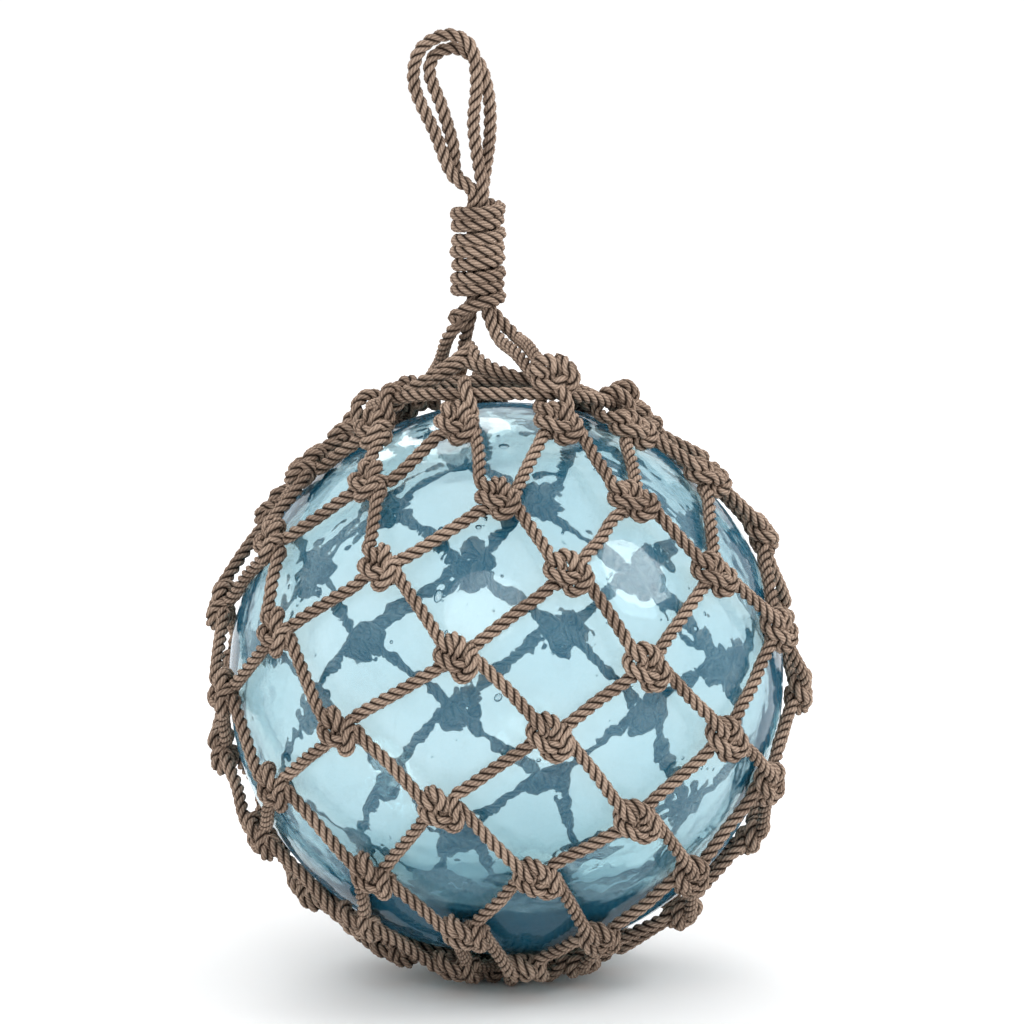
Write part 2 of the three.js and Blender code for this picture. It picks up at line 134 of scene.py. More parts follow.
class Shader:
    """A material's node tree, built by expressions."""

    def __init__(self, name: str) -> None:
        """Starts an empty material.

        Args:
            name: The material's name.
        """
        self.material = bpy.data.materials.new(name)
        self.material.use_nodes = True
        self.tree = self.material.node_tree
        self.tree.nodes.clear()

    def node(self, kind: str, settings: dict | None = None, sockets: dict | None = None) -> bpy.types.Node:
        """Adds one node.

        Args:
            kind: The node's type name.
            settings: Its own settings, set first.
            sockets: Values or links of its input sockets, by name or number.

        Returns:
            The node.
        """
        made = self.tree.nodes.new(kind)
        for key, value in (settings or {}).items():
            setattr(made, key, value)
        for key, value in (sockets or {}).items():
            if isinstance(value, Socket):
                self.tree.links.new(value.source, made.inputs[key])
            else:
                made.inputs[key].default_value = value
        return made

    def out(self, made: bpy.types.Node, key: str | int = 0) -> Socket:
        """One output of a node."""
        return Socket(self, made.outputs[key])

    def math(self, operation: str, *values: Socket | float) -> Socket:
        """A Math node on up to three values."""
        made = self.node("ShaderNodeMath", {"operation": operation}, dict(enumerate(values)))
        return self.out(made)

    def smooth(self, value: Socket, low: float, high: float) -> Socket:
        """A value's smooth step from 0 at one bound to 1 at the other."""
        sockets = {"Value": value, "From Min": low, "From Max": high}
        return self.out(self.node("ShaderNodeMapRange", {"interpolation_type": "SMOOTHSTEP"}, sockets))

    def noise(self, scale: float, detail: float, vector: Socket) -> Socket:
        """Noise from 0 to 1 at points of a vector."""
        sockets = {"Vector": vector, "Scale": scale, "Detail": detail}
        return self.out(self.node("ShaderNodeTexNoise", {}, sockets))

    def mix(self, factor: Socket, low: "Socket | Colour", high: "Socket | Colour") -> Socket:
        """A colour between two.

        Args:
            factor: How far from the first to the second, from 0 to 1.
            low: The first.
            high: The second.

        Returns:
            The colour.
        """
        ends = [end if isinstance(end, Socket) else (*end, 1.0) for end in (low, high)]
        made = self.node("ShaderNodeMix", {"data_type": "RGBA"}, {0: factor, 6: ends[0], 7: ends[1]})
        return self.out(made, 2)

    def principled(self, colour: "Socket | Colour", roughness: float, others: dict | None = None) -> Socket:
        """A surface with a colour and a roughness.

        Args:
            colour: Its base colour.
            roughness: Its roughness.
            others: Values or links of any other sockets.

        Returns:
            The surface.
        """
        base = colour if isinstance(colour, Socket) else (*colour, 1.0)
        sockets = {"Base Color": base, "Roughness": roughness, **(others or {})}
        return self.out(self.node("ShaderNodeBsdfPrincipled", {}, sockets))

    def finish(self, surface: Socket, volume: Socket | None = None) -> bpy.types.Material:
        """Links the output node.

        Args:
            surface: The surface.
            volume: What fills it, if anything.

        Returns:
            The material.
        """
        sockets = {"Surface": surface}
        if volume is not None:
            sockets["Volume"] = volume
        self.node("ShaderNodeOutputMaterial", {}, sockets)
        return self.material


@dataclass(frozen=True)
class RopeFinish:
    """Dull brown rope of lighter and darker fibres, with painted shade that darkens each strand towards
    where it meets the next.
    """

    crown: Colour = (0.47, 0.35, 0.27)
    fibre: Colour = (0.195, 0.137, 0.103)
    # Painted shade: the near-black colour laid where the strands meet.
    groove_shade: Colour = (0.018, 0.012, 0.009)
    roughness: float = 0.9
    specular: float = 0.08
    yarns_per_strand: float = 4.0
    yarn_wobble: float = 3.0
    yarn_wobble_scale: float = 420.0
    yarn_wobble_detail: float = 1.0
    yarn_share: float = 0.4
    fibre_detail: float = 3.0
    patch_scale: float = 45.0
    patch_bounds: tuple[float, float] = (0.3, 0.7)
    patch_share: float = 0.3
    fuzz_scale: float = 1400.0
    fuzz_share: float = 0.45
    crown_bounds: tuple[float, float] = (0.3, 0.9)
    # How far from where the strands meet the painted shade reaches, as a share of the way to a strand's
    # crown.
    groove_shade_width: float = 0.62
    bump_strength: float = 0.9
    bump_height: float = 0.0006

    def material(self, lay_rate: float) -> bpy.types.Material:
        """The rope's material.

        The rope's own map counts diameters along it and strands round it. Yarns run along the
        rope, so their stripes follow the strand count plus what the strands turn over the length.

        Args:
            lay_rate: Strands passed for each diameter along the rope.

        Returns:
            The material.
        """
        s = Shader("laid_rope")
        lay = s.out(s.node("ShaderNodeUVMap", {"uv_map": LAY_MAP}))
        parted = s.node("ShaderNodeSeparateXYZ", {}, {0: lay})
        along, strand = s.out(parted, 0), s.out(parted, 1)
        place = s.out(s.node("ShaderNodeTexCoord"), "Object")
        # The share across each strand: 1 on its crown and 0 where it meets the next. It places the painted
        # shade.
        crown = 1.0 - abs(s.math("FRACT", strand) * 2.0 - 1.0)
        turned = (strand + along * lay_rate) * (2.0 * np.pi * self.yarns_per_strand)
        wobble = s.noise(self.yarn_wobble_scale, self.yarn_wobble_detail, place) * self.yarn_wobble
        yarn = s.math("SINE", turned + wobble) * 0.5 + 0.5
        patches = s.smooth(s.noise(self.patch_scale, self.fibre_detail, place), *self.patch_bounds)
        fuzz = s.noise(self.fuzz_scale, self.fibre_detail, place)
        mixed = fuzz * self.fuzz_share + yarn * self.yarn_share + patches * self.patch_share
        fibres = s.mix(s.smooth(mixed, *self.crown_bounds), self.fibre, self.crown)
        # Painted shade: the near-black colour darkens each strand towards where it meets the next.
        colour = s.mix(s.smooth(crown, 0.0, self.groove_shade_width), self.groove_shade, fibres)
        sockets = {
            "Strength": self.bump_strength,
            "Distance": self.bump_height,
            "Height": fuzz * 0.5 + yarn * 0.5,
        }
        bump = s.out(s.node("ShaderNodeBump", {}, sockets))
        others = {"Specular IOR Level": self.specular, "Normal": bump}
        return s.finish(s.principled(colour, self.roughness, others))


@dataclass(frozen=True)
class GlassFinish:
    """Clear pale aqua glass that darkens to teal where it is seen edge on."""

    tint: Colour = (0.97, 0.995, 1.0)
    roughness: float = 0.015
    refraction: float = 1.5
    absorption: Colour = (0.09, 0.46, 0.5)
    absorption_density: float = 65.0
    ripple_scale: float = 70.0
    ripple_detail: float = 1.0
    ripple_height: float = 0.00033
    veil: Colour = (0.02, 0.42, 0.72)
    veil_cover: float = 0.15
    veil_roughness: float = 0.6

    def material(self) -> bpy.types.Material:
        """The glass: clear by plain values, with fine ripples in its skins.

        Returns:
            The material.
        """
        s = Shader("aqua_glass")
        place = s.out(s.node("ShaderNodeTexCoord"), "Object")
        ripple = s.noise(self.ripple_scale, self.ripple_detail, place)
        bump = s.node("ShaderNodeBump", {}, {"Distance": self.ripple_height, "Height": ripple})
        others = {"IOR": self.refraction, "Transmission Weight": 1.0, "Normal": s.out(bump)}
        surface = s.principled(self.tint, self.roughness, others)
        sockets = {"Color": (*self.absorption, 1.0), "Density": self.absorption_density}
        return s.finish(surface, s.out(s.node("ShaderNodeVolumeAbsorption", {}, sockets)))

    def veil_material(self) -> bpy.types.Material:
        """The glass's own faint blue, as a film that hides a small share of what is behind it."""
        s = Shader("aqua_veil")
        return s.finish(s.principled(self.veil, self.veil_roughness, {"Alpha": self.veil_cover}))


@dataclass(frozen=True)
class FloorFinish:
    """Matt pale studio floor."""

    colour: Colour = (0.92, 0.92, 0.92)
    roughness: float = 0.8

    def material(self) -> bpy.types.Material:
        """The floor's material."""
        s = Shader("studio_floor")
        return s.finish(s.principled(self.colour, self.roughness))


# Shapes


def unit(vectors: Array) -> Array:
    """Vectors over their own lengths."""
    return vectors / np.linalg.norm(vectors, axis=-1, keepdims=True)


def on_sphere(azimuth: Array, latitude: Array) -> Array:
    """Directions at an azimuth and a latitude, in degrees.

    The direction is (cos latitude sin azimuth, -cos latitude cos azimuth, sin latitude).
    """
    turn, rise = np.broadcast_arrays(np.radians(azimuth), np.radians(latitude))
    return np.stack([np.cos(rise) * np.sin(turn), -np.cos(rise) * np.cos(turn), np.sin(rise)], axis=-1)


def about_axis(azimuth: Array, radius: Array, height: Array) -> Array:
    """Points by azimuth in degrees, distance from the Z axis and height."""
    level = on_sphere(azimuth, 0.0) * np.asarray(radius)[..., None]
    return level + Z_AXIS * np.asarray(height)[..., None]


def even_steps(points: Array, closed: bool, spacing: float) -> Array:
    """A line of points moved to equal steps along its length.

    Args:
        points: The line, one row for each point.
        closed: Whether its end joins its start.
        spacing: The step aimed at.

    Returns:
        The points at equal steps, without the start repeated on a closed line.
    """
    line = np.vstack([points, points[:1]]) if closed else points
    run = np.concatenate([[0.0], np.cumsum(np.linalg.norm(np.diff(line, axis=0), axis=1))])
    count = max(4, int(round(run[-1] / spacing)))
    stops = np.linspace(0.0, run[-1], count, endpoint=not closed)
    return np.stack([np.interp(stops, run, line[:, axis]) for axis in range(3)], axis=1)


def spline(points: Array, closed: bool, spacing: float, steps: int = 12) -> Array:
    """A centripetal Catmull-Rom curve through points, at equal steps.

    Each span is three rounds of straight blends between its four nearest points, by a parameter
    that grows with the square root of the distance between them.

    Args:
        points: The points that the curve passes.
        closed: Whether it closes on itself.
        spacing: The step between the points returned.
        steps: Points worked out on each span before the steps are made equal.

    Returns:
        Points along the curve.
    """
    if closed:
        ext = np.vstack([points[-1:], points, points[:2]])
    else:
        ext = np.vstack([2 * points[:1] - points[1:2], points, 2 * points[-1:] - points[-2:-1]])
    gaps = np.sqrt(np.linalg.norm(np.diff(ext, axis=0), axis=1)) + 1e-9
    marks = np.concatenate([[0.0], np.cumsum(gaps)])
    p = [ext[i : len(ext) - 3 + i, None, :] for i in range(4)]
    t = [marks[i : len(marks) - 3 + i, None, None] for i in range(4)]
    at = t[1] + (t[2] - t[1]) * np.linspace(0.0, 1.0, steps, endpoint=False)[None, :, None]

    def blend(a: Array, b: Array, start: Array, end: Array) -> Array:
        """A straight blend from a at the start to b at the end."""
        return ((end - at) * a + (at - start) * b) / (end - start)

    first = [blend(p[i], p[i + 1], t[i], t[i + 1]) for i in range(3)]
    second = [blend(first[i], first[i + 1], t[i], t[i + 2]) for i in range(2)]
    curve = blend(second[0], second[1], t[1], t[2]).reshape(-1, 3)
    if not closed:
        curve = np.vstack([curve, points[-1:]])
    return even_steps(curve, closed, spacing)


def ring_faces(rings: int, columns: int, closed: bool = False, further: int = 0) -> Array:
    """Faces between rings of points, each ring numbered on from the one before.

    Args:
        rings: How many rings.
        columns: Points on each ring.
        closed: Whether the last ring joins the first one.
        further: How many points further round the last ring meets the first one.

    Returns:
        Rows of four point numbers, ring by ring.
    """
    i, j = np.meshgrid(np.arange(rings if closed else rings - 1), np.arange(columns), indexing="ij")
    here, later = i * columns, (i + 1) % rings * columns
    met = j + np.where(i == rings - 1, further, 0)
    faces = [here + j, here + (j + 1) % columns, later + (met + 1) % columns, later + met % columns]
    return np.stack(faces, -1).reshape(-1, 4)


def end_faces(rings: int, columns: int) -> Array:
    """Triangles that close a tube with a tip at each end.

    Args:
        rings: How many rings the tube has.
        columns: Points on each ring.

    Returns:
        Rows of three point numbers. The first ring's tip is numbered after all the rings, and the
        last ring's tip after that.
    """
    ring = np.arange(columns)
    after = (ring + 1) % columns
    tip = np.full(columns, rings * columns)
    last = (rings - 1) * columns
    first_fan = np.stack([tip, after, ring], -1)
    return np.vstack([first_fan, np.stack([tip + 1, last + ring, last + after], -1)])


class MeshParts:
    """Vertices, faces and map corners of one piece, gathered from several surfaces."""

    def __init__(self) -> None:
        """Starts with nothing."""
        self.vertices: list[Array] = []
        self.faces: list[list[int]] = []
        self.corners: list[Array] = []
        self.count = 0

    def add(self, vertices: Array, faces: Array, corners: Array, ends: Array | None = None) -> None:
        """Adds a closed surface.

        Args:
            vertices: Its points, one row each.
            faces: Its four-cornered faces as rows of point numbers.
            corners: The map's two values at each corner of each of those.
            ends: The triangles that close its ends, where it has any.
        """
        self.faces.extend((faces + self.count).tolist())
        self.corners.append(corners.reshape(-1, 2))
        if ends is not None:
            self.faces.extend((ends + self.count).tolist())
            self.corners.append(np.full((ends.size, 2), END_ON_MAP))
        self.vertices.append(vertices)
        self.count += len(vertices)

    def piece(self, name: str, material: bpy.types.Material, slot: Slot, node: Node) -> bpy.types.Object:
        """The gathered surfaces as a piece that stands for a solid.

        Args:
            name: The piece's name.
            material: Its material.
            slot: The record's slot of its finish. It is not used.
            node: The solid that it stands for.

        Returns:
            The object, riding on the one body.
        """
        mesh = bpy.data.meshes.new(name)
        mesh.from_pydata(np.vstack(self.vertices).tolist(), [], self.faces)
        layer = mesh.uv_layers.new(name=LAY_MAP)
        layer.data.foreach_set("uv", np.vstack(self.corners).astype(np.float32).ravel())
        mesh.polygons.foreach_set("use_smooth", np.ones(len(mesh.polygons), bool))
        mesh.materials.append(material)
        mesh.update()
        made = put(name, mesh)
        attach(made, BODY)
        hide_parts(node.value)
        log.info("%s: %d triangles", name, sum(len(face) - 2 for face in self.faces))
        return made


@dataclass(frozen=True)
class LaidRope:
    """Three-strand rope with a right-hand lay."""

    diameter: float = 0.0075
    strands: int = 3
    pitch: float = 0.0173
    strand_offset: float = 0.46
    ring_step: float = 0.0016
    points_per_strand: int = 6
    end_taper: float = 0.82
    tip_reach: float = 0.2

    @property
    def radius(self) -> float:
        """Half the diameter."""
        return self.diameter / 2

    @property
    def lay_rate(self) -> float:
        """Strands passed for each diameter along the rope."""
        return self.strands * self.diameter / self.pitch

    def section(self) -> tuple[Array, Array]:
        """Angles and radii of the rope's section, round its centre.

        The outline is that of equal circles whose centres stand at strand_offset of the radius:
        offset cos angle + root(strand radius squared - (offset sin angle) squared), with the
        angle measured from the nearest strand's centre.

        Returns:
            The angles in radians, and the radii.
        """
        share = np.arange(self.strands * self.points_per_strand) / self.points_per_strand
        angle = 2 * np.pi * share / self.strands
        own = (share % 1.0 - 0.5) * 2 * np.pi / self.strands
        offset = self.strand_offset
        reach = offset * np.cos(own) + np.sqrt((1 - offset) ** 2 - (offset * np.sin(own)) ** 2)
        return angle, reach * self.radius

    def twist(self, path: Array, closed: bool) -> tuple[Array, Array, Array]:
        """Two directions across the path at each point, and how far the strands are turned.

        The first direction is a fixed one without its part along the path. Carrying it from each
        point to the next by the least turn shows how far it slips, and that slip is taken out.

        Args:
            path: Points at equal steps.
            closed: Whether the path closes on itself.

        Returns:
            Both directions, and the strands' angle from the first one in radians at each point
            and once more at the end of the last step. On a closed path that is whole strands.
        """
        after, before = np.roll(path, -1, axis=0), np.roll(path, 1, axis=0)
        if not closed:
            after[-1], before[0] = 2 * path[-1] - path[-2], 2 * path[0] - path[1]
        along = unit(after - before)
        side = unit(ASIDE - (along @ ASIDE)[:, None] * along)
        other = np.cross(along, side)
        following = [np.roll(v, -1, axis=0) for v in (along, side, other)]
        axis = np.cross(along, following[0])
        turned = np.cross(axis, side)
        scale = 1.0 + np.sum(along * following[0], axis=1, keepdims=True)
        carried = side + turned + np.cross(axis, turned) / scale
        slip = np.arctan2(np.sum(carried * following[2], axis=1), np.sum(carried * following[1], axis=1))
        step = np.linalg.norm(path[1] - path[0])
        gain = slip + 2 * np.pi * step / self.pitch
        if closed:
            strand = 2 * np.pi / self.strands
            gain += (round(gain.sum() / strand) * strand - gain.sum()) / len(gain)
        return side, other, np.concatenate([[0.0], np.cumsum(gain)])

    def lay(self, parts: MeshParts, path: Array, closed: bool) -> None:
        """Carries the rope's turning section along a path and adds its skin.

        Args:
            parts: Where the skin goes.
            path: Points at equal steps.
            closed: Whether the rope closes on itself. An open one gets rounded cut ends.
        """
        side, other, (*turned, total) = self.twist(path, closed)
        angle, reach = self.section()
        scale = np.ones(len(path))
        if not closed:
            scale[[0, -1]] = self.end_taper
        at = np.array(turned)[:, None] + angle[None, :]
        radial = np.cos(at)[..., None] * side[:, None] + np.sin(at)[..., None] * other[:, None]
        skin = path[:, None] + radial * (reach[None, :] * scale[:, None])[..., None]
        rings, columns = skin.shape[:2]
        # A closed rope's last ring meets the first one whole strands further round: so many points.
        further = round(total * self.strands / (2 * np.pi)) * self.points_per_strand
        faces = ring_faces(rings, columns, closed, further)
        i, j = np.divmod(np.arange(len(faces)), columns)
        step = np.linalg.norm(path[1] - path[0]) / self.diameter
        strand = 1.0 / self.points_per_strand
        low = np.stack([i * step, j * strand], -1)
        corners = np.stack([low, low + [0, strand], low + [step, strand], low + [step, 0]], axis=1)
        if closed:
            parts.add(skin.reshape(-1, 3), faces, corners)
        else:
            tips = path[[0, -1]] * (1 + self.tip_reach) - path[[1, -2]] * self.tip_reach
            parts.add(np.vstack([skin.reshape(-1, 3), tips]), faces, corners, end_faces(rings, columns))

    def piece(
        self, name: str, paths: list[Array], closed: bool, material: bpy.types.Material, node: Node
    ) -> None:
        """Makes one piece of ropes laid along paths.

        Args:
            name: The piece's name.
            paths: Each rope's points at equal steps.
            closed: Whether the ropes close on themselves.
            material: The rope's material.
            node: The solid that the piece stands for.
        """
        parts = MeshParts()
        for path in paths:
            self.lay(parts, path, closed)
        parts.piece(name, material, Slot.ROPE, node)


def ball_grid(rows: int, columns: int) -> tuple[Array, Array, Array]:
    """Directions and faces of a ball with closed poles.

    Args:
        rows: Steps from pole to pole.
        columns: Steps round.

    Returns:
        Directions, and its four-cornered faces and pole triangles, which turn left seen outside.
    """
    latitude = np.linspace(-90.0, 90.0, rows + 1)[1:-1]
    azimuth = np.arange(columns) * 360.0 / columns
    grid = on_sphere(azimuth[None, :], latitude[:, None]).reshape(-1, 3)
    directions = np.vstack([grid, -Z_AXIS, Z_AXIS])
    return directions, ring_faces(rows - 1, columns), end_faces(rows - 1, columns)


@dataclass
class GlassBall:
    """The blown ball: a wavy outer skin, an inner skin and seeds of air in the wall."""

    finish: GlassFinish
    wall: float = 0.0045
    base_wall: float = 0.026
    base_spread: float = 30.0
    outer_wave: float = 0.0004
    outer_rates: tuple[float, float] = (3.0, 12.0)
    outer_draw: int = 3
    inner_wave: float = 0.0008
    inner_rates: tuple[float, float] = (3.0, 17.0)
    inner_draw: int = 7
    wave_count: int = 14
    wave_crest: float = 1.4
    rows: int = 110
    columns: int = 220
    seed_draw: int = 11
    seed_count: int = 170
    large_seed_share: float = 0.12
    large_seed: tuple[float, float] = (0.0014, 0.0024)
    small_seed: tuple[float, float] = (0.0004, 0.0011)
    seed_stretch: tuple[float, float] = (1.0, 1.8)
    seed_flatness: float = 0.8
    seed_deepest: float = 0.0009
    seed_rows: int = 6
    seed_columns: int = 10
    veil_gap: float = 0.00005
    centre: Array = field(init=False)
    radius: float = field(init=False)

    def __post_init__(self) -> None:
        """Takes the ball's place and size from its solid."""
        low, high = (np.array(corner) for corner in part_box(Node.BALL.value))
        self.centre = (low + high) / 2
        self.radius = (high[0] - low[0]) / 2

    def waves(self, directions: Array, draw: int, rates: tuple[float, float]) -> Array:
        """A smooth uneven pattern over directions, mostly from -1 to 1.

        It is the sum of sin(rate times direction along a heading + phase) over the waves, over the
        root of their count and over the usual crest.

        Args:
            directions: Where it is worked out.
            draw: The number that its random draws start from.
            rates: Its slowest and its quickest wave, in radians for a radius.

        Returns:
            Its value at each direction.
        """
        random = np.random.default_rng(draw)
        heading = unit(random.normal(size=(self.wave_count, 3)))
        rate = random.uniform(*rates, self.wave_count)
        phase = random.uniform(0.0, 2 * np.pi, self.wave_count)
        waves = np.sin(directions @ (heading * rate[:, None]).T + phase)
        return waves.sum(axis=1) / np.sqrt(self.wave_count) / self.wave_crest

    def thickness(self, directions: Array) -> Array:
        """The wall's thickness: wall + (base wall - wall) exp -(angle from below / spread) squared,
        and waves on it.

        Args:
            directions: Where it is worked out.

        Returns:
            Its value at each direction.
        """
        below = np.degrees(np.arccos(np.clip(-directions[:, 2], -1.0, 1.0)))
        base = (self.base_wall - self.wall) * np.exp(-((below / self.base_spread) ** 2))
        uneven = self.inner_wave * self.waves(directions, self.inner_draw, self.inner_rates)
        return self.wall + base + uneven

    @staticmethod
    def skin(parts: MeshParts, points: Array, faces: Array, ends: Array, inward: bool) -> None:
        """Adds one closed skin.

        Args:
            parts: Where it goes.
            points: Its points.
            faces: Its four-cornered faces, seen from outside.
            ends: Its pole triangles.
            inward: Whether the glass lies outside it, so that it is turned inside out.
        """
        if inward:
            faces, ends = faces[:, ::-1], ends[:, ::-1]
        parts.add(points, faces, np.zeros((len(faces), 4, 2)), ends)

    def seeds(self, parts: MeshParts) -> None:
        """Adds small air seeds in the middle of the wall: balls drawn out along it and flat across.

        Args:
            parts: Where they go.
        """
        random = np.random.default_rng(self.seed_draw)
        shape, faces, ends = ball_grid(self.seed_rows, self.seed_columns)
        out = unit(random.normal(size=(self.seed_count, 3)))
        across = unit(np.cross(out, random.normal(size=(self.seed_count, 3))))
        beyond = np.cross(out, across)
        large = random.random(self.seed_count) < self.large_seed_share
        wide = random.uniform(*self.large_seed, self.seed_count)
        narrow = random.uniform(*self.small_seed, self.seed_count)
        width = np.where(large, wide, narrow)
        length = width * random.uniform(*self.seed_stretch, self.seed_count)
        depth = np.minimum(width * self.seed_flatness, self.seed_deepest)
        middle = self.centre + out * (self.radius - self.wall / 2)
        for i in range(self.seed_count):
            axes = np.stack([across[i] * width[i], beyond[i] * length[i], out[i] * depth[i]])
            self.skin(parts, middle[i] + shape @ axes, faces, ends, True)

    def build(self) -> None:
        """Builds the ball and the veil just over its skin."""
        directions, faces, ends = ball_grid(self.rows, self.columns)
        wave = self.waves(directions, self.outer_draw, self.outer_rates)
        outer = self.radius - self.outer_wave * (1.0 + np.clip(wave, -1.0, 1.0))
        inner = outer - self.thickness(directions)
        glass = MeshParts()
        self.skin(glass, self.centre + directions * outer[:, None], faces, ends, False)
        self.skin(glass, self.centre + directions * inner[:, None], faces, ends, True)
        self.seeds(glass)
        glass.piece("float_glass", self.finish.material(), Slot.GLASS, Node.BALL)
        veil = MeshParts()
        over = (outer + self.veil_gap)[:, None]
        self.skin(veil, self.centre + directions * over, faces, ends, False)
        veil.piece("float_veil", self.finish.veil_material(), Slot.GLASS, Node.BALL)


@dataclass
class KnotFrame:
    """Where a knot stands: its centre and its directions across, up and away from the ball."""

    centre: Array
    across: Array
    up: Array
    out: Array

    def place(self, shape: Array, scale: float) -> Array:
        """The places of points given across, up and out in units of a scale."""
        return self.centre + (shape @ np.stack([self.across, self.up, self.out])) * scale


# The two ropes of a sheet bend, by points across, up and out from its centre in rope diameters.
# The bight hangs from both upper legs, and the turn comes from both lower ones round it.
BIGHT = np.array([
    [-1.35, 1.25, 0.45], [-0.8, 0.65, 0.6], [-0.35, 0.2, 0.4], [-0.02, -0.3, 0.05],
    [0.1, -0.9, -0.15], [0.4, -1.45, -0.1], [0.95, -1.65, 0.2], [1.42, -1.3, 0.45],
    [1.5, -0.7, 0.45], [1.35, -0.1, 0.1], [1.3, 0.4, -0.4], [1.7, 0.85, -0.4],
])
TURN = np.array([
    [-1.3, -1.15, -0.38], [-0.55, -0.95, -0.5], [0.15, -0.85, -0.55], [0.65, -0.7, -0.45],
    [0.95, -0.35, 0.0], [1.02, 0.15, 0.45], [0.88, 0.7, 0.6], [0.5, 1.22, 0.55],
    [-0.05, 1.5, 0.4], [-0.6, 1.45, 0.05], [-1.1, 1.1, -0.35], [-1.35, 0.5, -0.25],
    [-1.15, -0.05, 0.2], [-0.7, -0.45, 0.5], [-0.1, -0.8, 0.6], [0.45, -1.1, 0.45],
    [0.9, -1.25, 0.0], [1.3, -1.05, -0.4], [1.65, -0.5, -0.45], [1.8, -0.35, -0.1],
])
# What closes a first-row knot's bight over the ring, from front to back.
EYE = np.array([
    [1.0, 0.95, 0.1], [0.75, 1.5, 0.75], [0.35, 2.15, 0.97], [0.1, 2.85, 0.72],
    [-0.05, 3.1, 0.0], [-0.3, 2.8, -0.75], [-0.6, 2.1, -0.95], [-0.95, 1.4, -0.35],
])


@dataclass
class MeshKnot:
    """The sheet bend at each crossing, pulled tight: its ropes press on each other a little.

    Its lengths are in rope diameters. The clearance is the distance that the middles of two ropes
    are pushed to, and a rope doesn't push itself within its own reach.
    """

    bight: Array = field(default_factory=BIGHT.copy)
    turn: Array = field(default_factory=TURN.copy)
    pulled: Place = (0.77, 0.77, 0.9)
    step: float = 0.12
    rounds: int = 60
    clearance: float = 0.86
    own_reach: float = 1.3
    lowest: float = -0.5
    highest: float = 0.62
    most_moved: float = 0.3
    push_share: float = 0.12
    ease_share: float = 0.3

    def __post_init__(self) -> None:
        """Pulls the knot tight, then pushes its ropes apart round by round."""
        lines = [spline(line * self.pulled, False, self.step) for line in (self.bight, self.turn)]
        split = len(lines[0])
        start = np.vstack(lines)
        points = start.copy()
        owner = (np.arange(len(start)) >= split).astype(int)
        apart = np.abs(np.subtract.outer(np.arange(len(start)), np.arange(len(start)))) * self.step
        may_touch = (owner[:, None] != owner[None, :]) | (apart > self.own_reach)
        fixed = np.zeros(len(start), bool)
        fixed[[0, 1, split - 2, split - 1, split, split + 1, -2, -1]] = True
        for _ in range(self.rounds):
            points = self.settle(points, start, may_touch, fixed)
        self.bight, self.turn = points[:split], points[split:]

    def settle(self, points: Array, start: Array, may_touch: Array, fixed: Array) -> Array:
        """One round: points closer than the clearance part, and each line is smoothed a little.

        Args:
            points: Where both ropes are.
            start: Where they were at first.
            may_touch: Which pairs of points may push each other.
            fixed: Which points stay.

        Returns:
            Where they are after the round.
        """
        offset = points[:, None] - points[None, :]
        distance = np.linalg.norm(offset, axis=2) + 1e-6
        push = np.where(may_touch & (distance < self.clearance), self.clearance - distance, 0.0)
        moved = points + self.push_share * np.sum(offset / distance[..., None] * push[..., None], axis=1)
        eased = moved.copy()
        eased[1:-1] = 0.25 * moved[:-2] + 0.5 * moved[1:-1] + 0.25 * moved[2:]
        moved = (1 - self.ease_share) * moved + self.ease_share * eased
        shift = moved - start
        length = np.linalg.norm(shift, axis=1, keepdims=True) + 1e-9
        moved = start + shift * np.minimum(1.0, self.most_moved / length)
        moved[:, 2] = np.clip(moved[:, 2], self.lowest, self.highest)
        return np.where(fixed[:, None], points, moved)


@dataclass
class GatheringRing:
    """The oval ring of rope that the net's first row hangs on, high in front and lower behind."""

    ball: GlassBall
    half_width: float = 0.067
    half_depth: float = 0.057
    height_over_centre: float = 0.1635
    droop: float = 0.0075
    fall_back: float = 0.13
    shift: float = -0.005
    degrees_a_step: float = 3.0

    def point(self, azimuth: Array | float) -> Array:
        """The ring's centre line at an azimuth about its own axis.

        Across it is half width times sin azimuth, and to the front half depth times cos azimuth. It
        droops at its sides by the fourth power of the sine and falls evenly towards the back.

        Args:
            azimuth: One azimuth or several.

        Returns:
            The point, or one for each azimuth.
        """
        turn = np.radians(azimuth)
        height = self.ball.centre[2] + self.height_over_centre - self.droop * np.sin(turn) ** 4
        height = height - self.fall_back * self.half_depth * (1.0 - np.cos(turn))
        across = self.shift + self.half_width * np.sin(turn)
        return np.stack([across, -self.half_depth * np.cos(turn), height], axis=-1)

    def line(self) -> Array:
        """The ring's centre line all round."""
        return self.point(self.azimuths())

    def azimuths(self) -> Array:
        """Azimuths all round."""
        return np.arange(0.0, 360.0, self.degrees_a_step)

    def outward(self, azimuth: float) -> Array:
        """The level direction away from the ring at an azimuth."""
        turn = np.radians(azimuth)
        return unit(np.array([np.sin(turn) / self.half_width, -np.cos(turn) / self.half_depth, 0.0]))


@dataclass(frozen=True)
class Wander:
    """How far knots wander from an even grid: a swing, and a sine's rates and phase in radians."""

    swing: float
    row: float
    column: float
    phase: float

    def at(self, row: int, column: int) -> float:
        """The wander of one knot, in degrees."""
        return self.swing * np.sin(self.row * row + self.column * column + self.phase)


